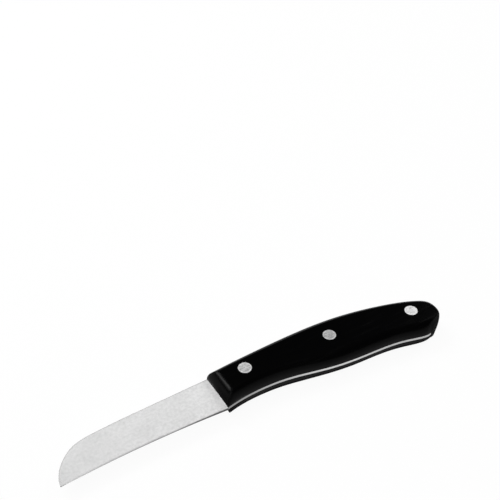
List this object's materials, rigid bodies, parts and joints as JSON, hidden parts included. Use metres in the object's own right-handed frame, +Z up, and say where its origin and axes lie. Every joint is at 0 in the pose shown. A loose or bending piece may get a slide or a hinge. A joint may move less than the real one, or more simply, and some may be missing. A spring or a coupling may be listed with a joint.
{
  "type": "paring knife",
  "caption": "Paring knife with a straight-edged satin steel blade, a long flat tang and curved glossy black plastic handle scales held by flush metal rivets.",
  "frame": {"origin": "centre of the middle rivet's lower head, on the plane of the lower scale's flat side that the knife lies on", "axes": "+X from the blade's tip to the butt of the handle, along the chord of the cutting edge; +Y in the plane of the blade, from the cutting edge to the spine; +Z up, square to the blade's plane"},
  "size_m": [0.183, 0.0289, 0.0126],
  "materials": {
    "steel": "fine satin, ground along the blade",
    "handle_plastic": "polished black",
    "rivet_metal": "ground flush, satin"
  },
  "bodies": {
    "root": {"blade": "steel", "upper_scale": "handle_plastic", "lower_scale": "handle_plastic", "front_rivet_sleeve": "rivet_metal", "front_rivet_pin": "rivet_metal", "middle_rivet_sleeve": "rivet_metal", "middle_rivet_pin": "rivet_metal", "rear_rivet_sleeve": "rivet_metal", "rear_rivet_pin": "rivet_metal"}
  },
  "joints": []
}
